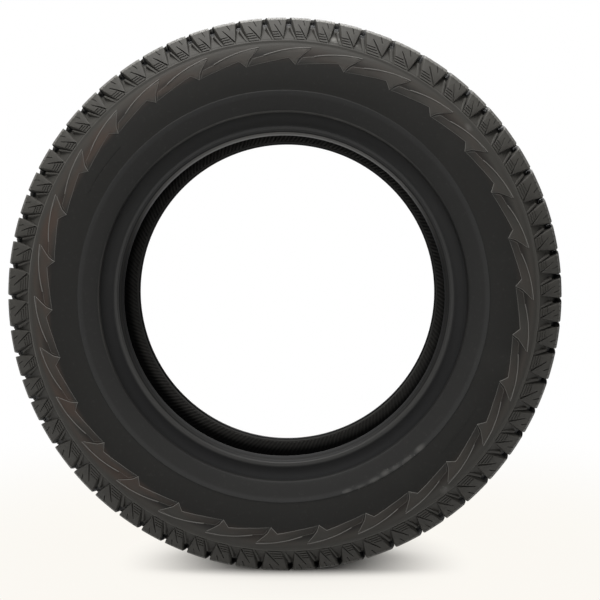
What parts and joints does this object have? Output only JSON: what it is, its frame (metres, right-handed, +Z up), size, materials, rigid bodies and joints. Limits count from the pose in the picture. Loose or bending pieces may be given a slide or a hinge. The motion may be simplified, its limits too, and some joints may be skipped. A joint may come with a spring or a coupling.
{
  "type": "car tyre",
  "caption": "Unmounted car tyre with a directional V-grooved tread, blocky ribbed shoulders, a saw-tooth sidewall band and bead seats for a wheel rim.",
  "frame": {"origin": "wheel centre, on the tyre's axis midway between the two beads", "axes": "+Y along the wheel's axis, away from the pictured sidewall; +Z up; the tyre stands on its tread at -Z"},
  "size_m": [0.707, 0.2202, 0.7055],
  "materials": {
    "tyre_rubber": "matt charcoal moulded rubber"
  },
  "bodies": {
    "root": {"tyre": "tyre_rubber"}
  },
  "joints": []
}
